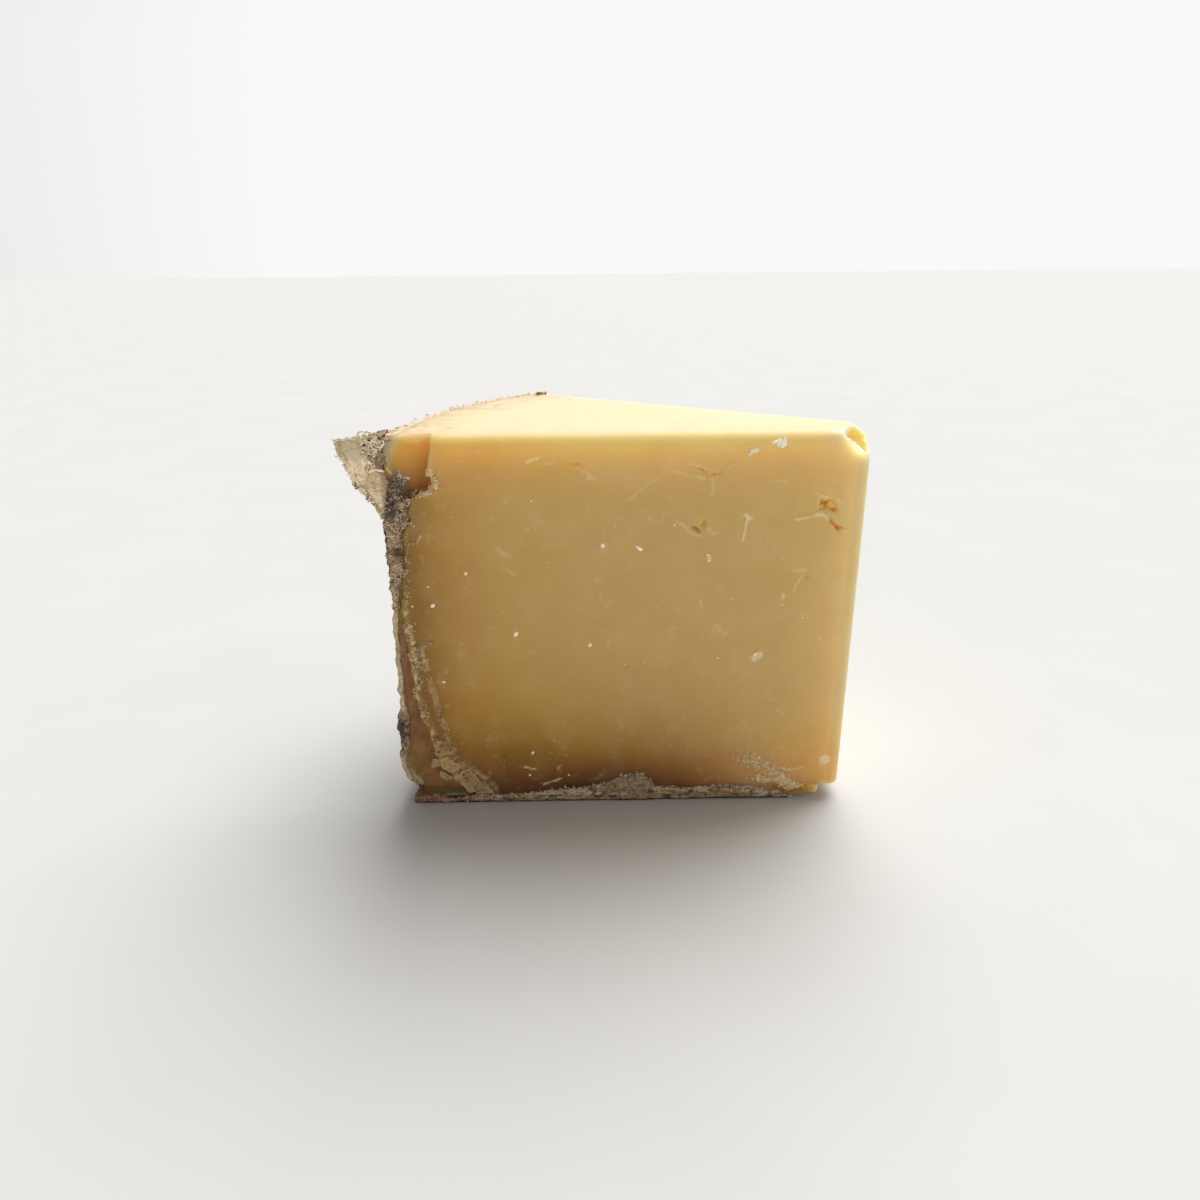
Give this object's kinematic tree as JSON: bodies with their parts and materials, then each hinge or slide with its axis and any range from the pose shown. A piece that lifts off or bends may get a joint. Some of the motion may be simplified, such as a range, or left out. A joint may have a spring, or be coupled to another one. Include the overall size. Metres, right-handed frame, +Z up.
{
  "type": "cheese wedge",
  "caption": "Wedge of clothbound cheddar cut from a tall wheel, with flat cut faces, a rough rind on the outer wall and base, and a blunt nose.",
  "frame": {"origin": "on the floor, under the middle of the wedge's bounding box", "axes": "+Z up from the rind of the base, -Y towards the front cut, +X towards the blunt nose; the wheel's curved wall is on the -X side"},
  "size_m": [0.1386, 0.0882, 0.109],
  "materials": {
    "cheese": "smooth waxy cut cheese paste, pale golden yellow, slightly translucent",
    "rind": "dry crumbly cheese rind with beige and grey mould and remnants of coarse cloth"
  },
  "bodies": {
    "root": {"cheese_wedge": "cheese"}
  },
  "joints": []
}
